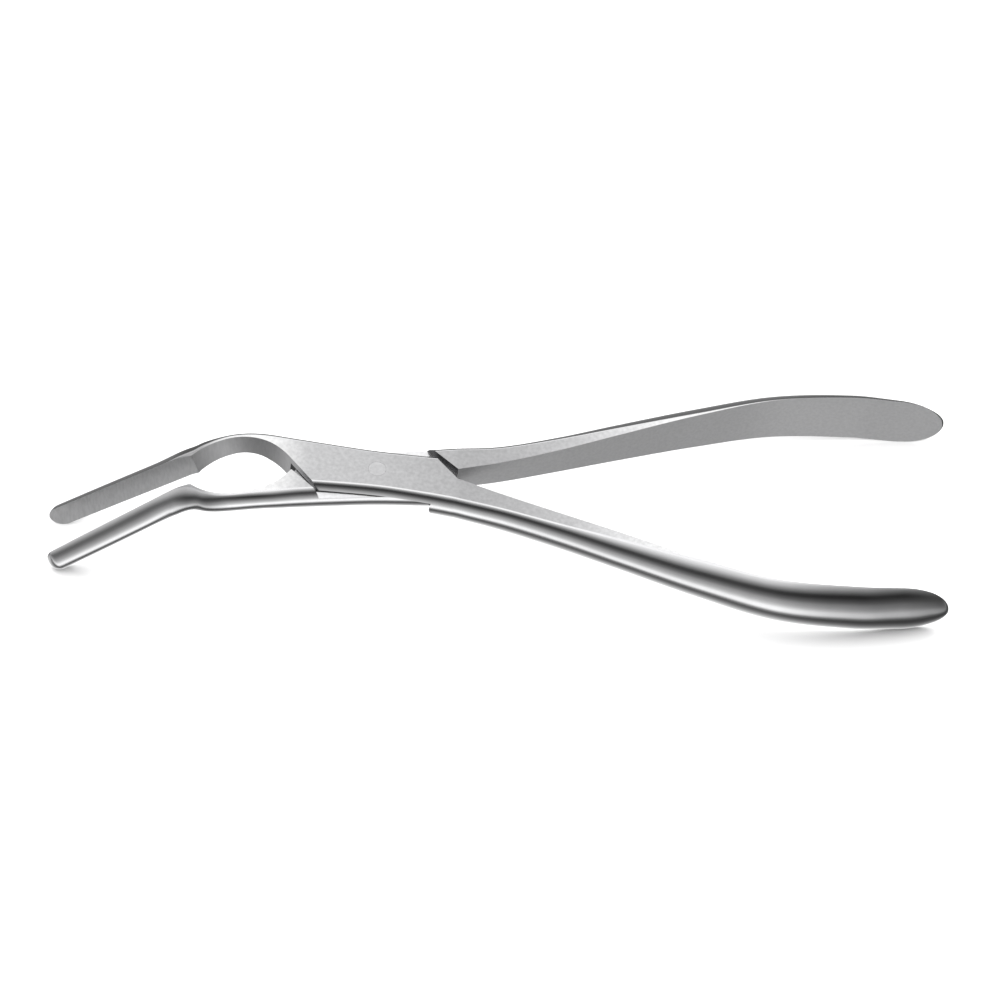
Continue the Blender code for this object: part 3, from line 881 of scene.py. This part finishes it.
def make_arm(name, side, pocket):
    """Lofts, mills and freezes the arm on one side of the centre line, +1 or -1."""
    attributes = {key: [s[key] for s in stations] for key in ("up", "plus", "minus", "size")}
    bar = point_object(name + "_stations", [s["middle"] for s in stations], attributes)
    lofted = bar.modifiers.new("loft", "NODES")
    lofted.node_group = loft
    for key, value in (("Section Ring", ring_points), ("Side", float(side)),
                       ("Flat Finish", satin_flat_painted_light), ("Back Finish", polished_back_painted_shade)):
        modifier_input(lofted, key, value)
    far = REACH_PAST + HEEL_REACH + BLADE_LENGTH
    cutters = [prism(name + "_jaw_space", jaw_space(), -far, far, side,
                     (milled_wall_painted_shade, blade_face, arch_face_painted_shade)),
               prism(name + "_arch_space", arch_space(), -ARCH_CUT_LOW, ARCH_CUT_HIGH, side,
                     (milled_wall_painted_shade, arch_face_painted_shade, arch_face_painted_shade), leaning=True),
               prism(name + "_handle_space", handle_space(), -far, far, side,
                     (milled_wall_painted_shade, milled_wall_painted_shade, grip_face)),
               pocket, turned(name + "_bore", bore_profile(), milled_wall_painted_shade)]
    for cutter in cutters:
        mill(bar, cutter)
    made = frozen(name + "_forged", bar, -side * REST_OPENING / 2)
    for done in [bar] + cutters:
        bpy.data.objects.remove(done)
    print(made.name, len(made.data.vertices), "points")
    return made


lap_finishes = (lap_face, milled_wall_painted_shade, milled_wall_painted_shade)
top_pocket = prism("top_pocket", leaf_pocket(LOWER_CLEARANCE), -REACH_PAST,
                   LAP_CLEARANCE / 2 - TOP_LEAF, -1, lap_finishes)
top_arm = make_arm("top_arm", 1, top_pocket)
bottom_pocket = prism("bottom_pocket", leaf_pocket(SHOULDER_CLEARANCE),
                      -LAP_CLEARANCE / 2 - TOP_LEAF, REACH_PAST, 1, lap_finishes)
bottom_arm = make_arm("bottom_arm", -1, bottom_pocket)

# %% [markdown]
# The screw fills the bore from the flat on top to the underside, where a
# screwdriver slot crosses its head. It turns with the top arm, which holds its
# thread on the real forceps.

# %% The joint screw
SLOT_WIDTH = 0.8 * MM
SLOT_DEPTH = 0.8 * MM
screw_blank = turned("screw_blank", screw_profile(), screw_end)
long, wide = SCREW_HEAD_RADIUS + SLOT_DEPTH, SLOT_WIDTH / 2
slot_cutter = prism("screw_slot", [(-long, -wide), (long, -wide), (long, wide), (-long, wide)],
                    -LOCK_THICKNESS - SLOT_DEPTH, -LOCK_THICKNESS + SLOT_DEPTH, 1,
                    (milled_wall_painted_shade,) * 3)
mill(screw_blank, slot_cutter)
screw = frozen("joint_screw_flush", screw_blank, -REST_OPENING / 2)
for done in (screw_blank, slot_cutter, ring_points):
    bpy.data.objects.remove(done)
print(screw.name, len(screw.data.vertices), "points")

# %% [markdown]
# Each piece stands for its CAD node, which is hidden, and rides on the node's
# body, so that it moves with the joint.

# %% Put the pieces on the bodies
for piece, node, slot, body in ((top_arm, "top_arm", "satin_steel_top_arm", "top_body"),
                                (bottom_arm, "bottom_arm", "satin_steel_bottom_arm", "bottom_body"),
                                (screw, "joint_screw", "ground_steel_screw", "top_body")):
    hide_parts(node)
    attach(piece, body)
    print(piece.name, "rides on", body)

# %% [markdown]
# The floor is a sheet of white card, much larger than the view.

# %% Floor
FLOOR_REACH = 3.0                     # metres from the middle to each side
floor_mesh = bmesh.new()
bmesh.ops.create_grid(floor_mesh, x_segments=1, y_segments=1, size=FLOOR_REACH)
floor_paint = bpy.data.materials.new("white_card")
floor_paint.use_nodes = True
card = floor_paint.node_tree.nodes["Principled BSDF"]
card.inputs["Base Color"].default_value = colour("F4F4F4")
card.inputs["Roughness"].default_value = 0.9
card.inputs["Specular IOR Level"].default_value = 0.1
floor = to_object("floor", floor_mesh, floor_paint)
print("floor", [round(side, 1) for side in floor.dimensions], "m")

# %% [markdown]
# The camera stands where the photographer's stood: 52 degrees above the plane
# of the lock and far away, as the small difference between the near and the
# far arm shows. It is turned and rolled a little, and the joint is off centre.

# %% Camera
ELEVATION = radians(52.0)
DISTANCE = 2.4
TURN = radians(-3.5)
ROLL = radians(3.9)
LOCK_PITCH = radians(7.6)             # of the lock's plane, as the camera sees it
PIXELS = 1000
FOCAL_PIXELS = 9600
JOINT_PIXEL = (377.2, 468.75)         # where the photo shows the joint's axis on the flat
SENSOR = 36.0
CLIP = (0.1, 20.0)

to_camera_frame = Matrix.Rotation(TURN, 3, "Z") @ Matrix.Rotation(LOCK_PITCH - PITCH, 3, "Y")
right, forward = Vector((1, 0, 0)), Vector((0, cos(ELEVATION), -sin(ELEVATION)))
up = right.cross(forward)
right, up = cos(ROLL) * right - sin(ROLL) * up, sin(ROLL) * right + cos(ROLL) * up
metres_per_pixel = DISTANCE / FOCAL_PIXELS
off_centre = (JOINT_PIXEL[0] - PIXELS / 2) * right - (JOINT_PIXEL[1] - PIXELS / 2) * up
shift = off_centre * metres_per_pixel
back_to_world = to_camera_frame.transposed()
place = PIVOT + back_to_world @ (-DISTANCE * forward - shift)
columns = [back_to_world @ v for v in (right, up, -forward)]
lens = bpy.data.cameras.new("camera")
lens.sensor_width = SENSOR
lens.lens = SENSOR * FOCAL_PIXELS / PIXELS
lens.clip_start, lens.clip_end = CLIP
camera = bpy.data.objects.new("camera", lens)
camera.matrix_world = Matrix.Translation(place) @ Matrix(columns).transposed().to_4x4()
bpy.context.scene.collection.objects.link(camera)
bpy.context.scene.camera = camera
print("camera at", [round(c, 3) for c in place])

# %% [markdown]
# Polished steel shows nothing but the room, so the room is drawn with care. It
# is a dark one with long soft lights that run along the forceps: one overhead,
# and one low down on each side, below the tool. Seen along the arms it only
# changes with the angle over the table, so one ramp holds it.

# %% The room's long lights
# (angle over the table from the camera's side, below it negative, brightness)
ROOM = ((-180, 0.18), (-155, 0.25), (-142, 0.8), (-125, 1.4), (-105, 1.0), (-85, 0.5),
        (-70, 0.2), (-58, 0.09), (-47, 0.35), (-37, 1.5), (-25, 1.5), (-15, 0.9), (-5, 0.6),
        (5, 0.45), (15, 0.2), (30, 0.035), (38, 0.035), (50, 0.35), (60, 0.8), (76, 1.4),
        (95, 1.35), (150, 1.35), (165, 0.18))
ROOM_SKEW = radians(25.0)             # the long lights are not quite in line with the forceps

sky = bpy.data.worlds.new("dark_room_with_strip_lights")
sky.use_nodes = True
tree = sky.node_tree
looking = add(tree, "ShaderNodeTexCoord").outputs["Generated"]
along, away, above = add(tree, SPLIT, {0: looking}).outputs
nearer = add(tree, MATH, {0: away, 1: -1.0}, operation="MULTIPLY").outputs[0]
angle = add(tree, MATH, {0: above, 1: nearer}, operation="ARCTAN2").outputs[0]
skew = add(tree, MATH, {0: along, 1: ROOM_SKEW}, operation="MULTIPLY").outputs[0]
angle = add(tree, MATH, {0: angle, 1: skew}, operation="ADD").outputs[0]
turn = add(tree, MATH, {0: angle, 1: 2 * pi}, operation="DIVIDE").outputs[0]
turn = add(tree, MATH, {0: turn, 1: 0.5}, operation="ADD").outputs[0]
ramp = add(tree, "ShaderNodeValToRGB", {"Fac": turn})
brightest = max(level for _, level in ROOM)
fill_ramp(ramp, [(over / 360 + 0.5, (*[level / brightest] * 3, 1.0)) for over, level in ROOM])
background = tree.nodes["Background"]
tree.links.new(ramp.outputs["Color"], background.inputs["Color"])
print("room with", len(ROOM), "steps of light, the brightest", brightest)

# %% [markdown]
# The lights end beyond the blades and the handles, so the room fades to both
# ends, where an even glow is left. That keeps a view from behind or along the
# arms as light as the one from the front.

# %% The room's ends
END_SHARE = 0.3                       # of their brightness, that the lights keep there
END_GLOW = 0.18                       # even glow there
HANDLE_END = (0.15, 0.8)              # between these the lights end on the handles' side

to_blades = add(tree, MATH, {0: along, 1: along}, operation="MULTIPLY").outputs[0]
to_handles = add(tree, "ShaderNodeMapRange", {"Value": along, "From Min": HANDLE_END[0],
                                              "From Max": HANDLE_END[1]}).outputs[0]
to_end = add(tree, MATH, {0: to_blades, 1: to_handles}, operation="MAXIMUM").outputs[0]
lost = add(tree, MATH, {0: to_end, 1: 1 - END_SHARE}, operation="MULTIPLY").outputs[0]
fade = add(tree, MATH, {0: 1.0, 1: lost}, operation="SUBTRACT").outputs[0]
strength = add(tree, MATH, {0: fade, 1: brightest}, operation="MULTIPLY").outputs[0]
tree.links.new(strength, background.inputs["Strength"])
glow = add(tree, MATH, {0: to_end, 1: END_GLOW}, operation="MULTIPLY").outputs[0]
ends = add(tree, "ShaderNodeBackground", {"Color": (1.0, 1.0, 1.0, 1.0), "Strength": glow})
room = add(tree, "ShaderNodeAddShader", {0: background.outputs[0], 1: ends.outputs[0]})
tree.links.new(room.outputs[0], tree.nodes["World Output"].inputs["Surface"])
bpy.context.scene.world = sky
print(sky.name, "made of", len(tree.nodes), "nodes")

# %% [markdown]
# The floor is lit by a wide soft light of its own over the table. Neither shows
# in the steel, because the bands on the real backs hold no reflected table. The
# view transform is the plain one, so that tones come out as their hex says.

# %% The table's light
LIGHT_SIZE = 4.0
LIGHT_POWER = 90
LIGHT_PLACE = (0, 0.4, 1.6)

table_light = bpy.data.lights.new("table_light", "AREA")
table_light.shape = "RECTANGLE"
table_light.size, table_light.size_y = LIGHT_SIZE, LIGHT_SIZE
table_light.energy = LIGHT_POWER
light = bpy.data.objects.new("table_light", table_light)
light.location = LIGHT_PLACE
light.visible_glossy = False
floor.visible_glossy = False
bpy.context.scene.collection.objects.link(light)
bpy.context.scene.view_settings.view_transform = "Standard"
print(table_light.name, LIGHT_POWER, "W from", LIGHT_SIZE, "m square")

# %% [markdown]
# The scene is brought up to date once more. The rebuilt arms have to stay
# inside the box of the CAD model.

# %% Finish
bpy.context.view_layer.update()
